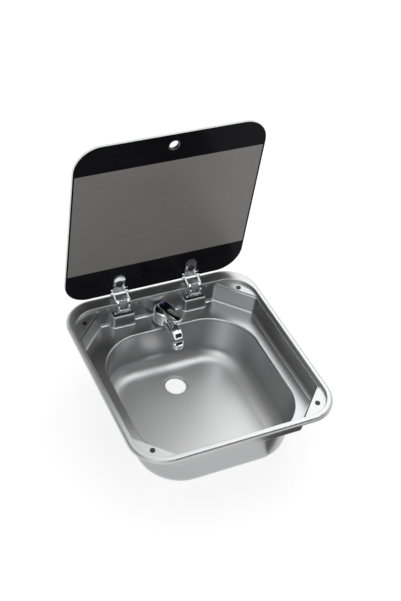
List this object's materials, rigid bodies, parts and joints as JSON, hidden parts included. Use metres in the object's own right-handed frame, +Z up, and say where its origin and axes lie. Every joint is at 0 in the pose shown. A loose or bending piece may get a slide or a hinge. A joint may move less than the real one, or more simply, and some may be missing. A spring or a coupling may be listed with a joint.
{
  "type": "rv sink with glass lid",
  "caption": "Square drop-in steel sink with a deep bowl, a folding smoked glass lid on linked hinges and a low cold-water tap in its recess.",
  "frame": {"origin": "centre of the square of corner screws, on the worktop's top face", "axes": "+X to the right, +Y to the rear where the tap and the lid's hinges are, +Z up; the lid is open at rest"},
  "size_m": [0.42, 0.444, 0.5502],
  "materials": {
    "steel_basin": "brushed, satin on the rim",
    "steel_hardware": "plain stainless",
    "chrome": "bright",
    "smoked_glass": "toughened, black printed bands over a smoked mirror coat",
    "black_plastic": "satin",
    "grey_plastic": "satin",
    "blue_plastic": "gloss",
    "brass": "turned",
    "black_rubber": "soft",
    "clear_pad": "soft, translucent"
  },
  "bodies": {
    "basin": {"sink_basin": "steel_basin", "rim_seal": "black_rubber", "corner_screws": "steel_hardware", "corner_bumpers": "black_rubber", "hinge_back_plate_left": "steel_hardware", "hinge_back_plate_right": "steel_hardware", "hinge_rivets": "steel_hardware", "hinge_foot_left": "black_plastic", "hinge_foot_right": "black_plastic", "hinge_base_left": "chrome", "hinge_base_right": "chrome", "hinge_base_screws": "steel_hardware", "hinge_base_nuts": "steel_hardware", "base_pin_left": "steel_hardware", "base_pin_right": "steel_hardware", "tap_gasket": "black_rubber", "tap_base": "chrome", "tap_orings": "black_rubber", "shank_rubber_washer": "black_rubber", "shank_steel_washer": "steel_hardware", "shank_nut": "brass", "inlet_tail": "brass"},
    "arms": {"hinge_arms_left": "chrome", "hinge_arms_right": "chrome", "knee_pin_left": "steel_hardware", "knee_pin_right": "steel_hardware"},
    "links": {"hinge_links_left": "chrome", "hinge_links_right": "chrome"},
    "lid": {"lid_glass": "smoked_glass", "finger_grommet": "black_plastic", "hinge_bracket_left": "chrome", "hinge_bracket_right": "chrome", "bracket_pad_left": "clear_pad", "bracket_pad_right": "clear_pad", "lid_pin_left": "steel_hardware", "lid_pin_right": "steel_hardware", "cap_screw_left": "black_plastic", "cap_screw_right": "black_plastic", "glass_cap_left": "chrome", "glass_cap_right": "chrome"},
    "tap": {"tap_body": "chrome", "cartridge": "grey_plastic", "cartridge_ring": "chrome", "aerator_housing": "chrome", "aerator_insert": "grey_plastic"},
    "lever": {"lever_carrier": "chrome", "tap_lever": "chrome", "lever_screw": "steel_hardware", "indicator_plug": "blue_plastic"}
  },
  "joints": [
    {"name": "arm_swing", "type": "hinge", "parent": "basin", "child": "arms", "pos_m": [0, 0.19126, -0.00785], "axis": [-1, 0, 0], "range_deg": [-125.7, 0]},
    {"name": "link_tilt", "type": "hinge", "parent": "arms", "child": "links", "pos_m": [0, 0.2009, 0.01115], "axis": [-1, 0, 0], "range_deg": [0, 125.75]},
    {"name": "lid_turn", "type": "hinge", "parent": "links", "child": "lid", "pos_m": [0, 0.21879, 0.01755], "axis": [-1, 0, 0], "range_deg": [-86.55, 0]},
    {"name": "spout_swivel", "type": "hinge", "parent": "basin", "child": "tap", "pos_m": [0.003, 0.172, -0.022], "axis": [0, 0, 1], "range_deg": [-54, 46]},
    {"name": "lever_turn", "type": "hinge", "parent": "tap", "child": "lever", "pos_m": [0.003, 0.172, -0.0132], "axis": [0, 0, 1], "range_deg": [-52, 38]}
  ],
  "couplings": [
    {"joint": "lid_turn", "follows": "arm_swing", "ratio": 0.68816},
    {"joint": "link_tilt", "follows": "arm_swing", "ratio": -1}
  ]
}
